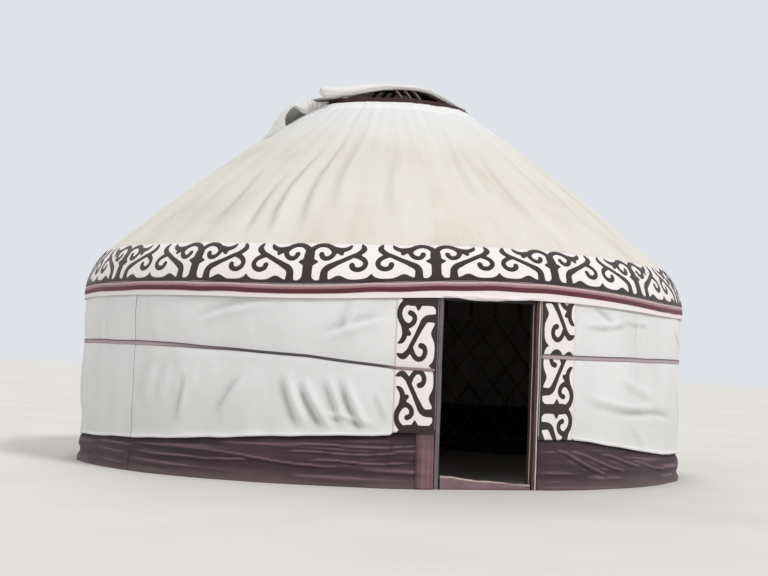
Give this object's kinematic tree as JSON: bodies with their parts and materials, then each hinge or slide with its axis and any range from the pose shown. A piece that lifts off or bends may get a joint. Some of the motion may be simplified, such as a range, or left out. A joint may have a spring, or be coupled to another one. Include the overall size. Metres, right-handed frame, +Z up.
{
  "type": "felt and canvas yurt",
  "caption": "Round tent with a lattice wall, bent roof poles and a domed crown ring under white covers, a scroll ornament band at the eave and an open doorway.",
  "frame": {"origin": "centre of the wall's circle, on the ground", "axes": "+Z up along the yurt's axis, -Y out through the middle of the doorway, +X to the right of someone who looks at the doorway"},
  "size_m": [6.039, 6.0392, 3.8773],
  "materials": {
    "lattice_wood": "willow rods, dry and darkened by smoke",
    "door_wood": "old brown paint with worn pale edges",
    "sill_wood": "worn maroon paint, dusty",
    "pole_wood": "red oil paint, hand brushed",
    "crown_wood": "red oil paint, hand brushed",
    "skirt_cloth": "dark maroon cloth, creased",
    "wall_canvas": "white cotton canvas over felt",
    "roof_canvas": "cream white cotton canvas over felt",
    "ornament_felt": "white felt with dark brown applique scrolls",
    "woven_tape": "wine red woven tape with a pale pink edge",
    "woven_belt": "woven wool belt, faded",
    "crown_canvas": "white canvas over felt, loosely laid"
  },
  "bodies": {
    "root": {"lattice_front_right": "lattice_wood", "lattice_right": "lattice_wood", "lattice_back": "lattice_wood", "lattice_left": "lattice_wood", "lattice_front_left": "lattice_wood", "door_post_left": "door_wood", "door_post_right": "door_wood", "door_lintel": "door_wood", "door_sill": "sill_wood", "roof_poles_front": "pole_wood", "roof_poles_right": "pole_wood", "roof_poles_back": "pole_wood", "roof_poles_left": "pole_wood", "crown_ring": "crown_wood", "crown_bars": "crown_wood", "skirt_front_right": "skirt_cloth", "skirt_right": "skirt_cloth", "skirt_back_right": "skirt_cloth", "skirt_back_left": "skirt_cloth", "skirt_left": "skirt_cloth", "skirt_front_left": "skirt_cloth", "wall_cover_front_right": "wall_canvas", "wall_cover_right": "wall_canvas", "wall_cover_back_right": "wall_canvas", "wall_cover_back_left": "wall_canvas", "wall_cover_left": "wall_canvas", "wall_cover_front_left": "wall_canvas", "roof_cover_front": "roof_canvas", "roof_cover_front_right": "roof_canvas", "roof_cover_back_right": "roof_canvas", "roof_cover_back": "roof_canvas", "roof_cover_back_left": "roof_canvas", "roof_cover_front_left": "roof_canvas", "ornament_band": "ornament_felt", "eave_tape": "woven_tape", "wall_belt_front": "woven_belt", "wall_belt_back": "woven_belt", "door_strip_left": "ornament_felt", "door_strip_right": "ornament_felt", "crown_cover": "crown_canvas", "crown_cover_fold": "crown_canvas"}
  },
  "joints": []
}
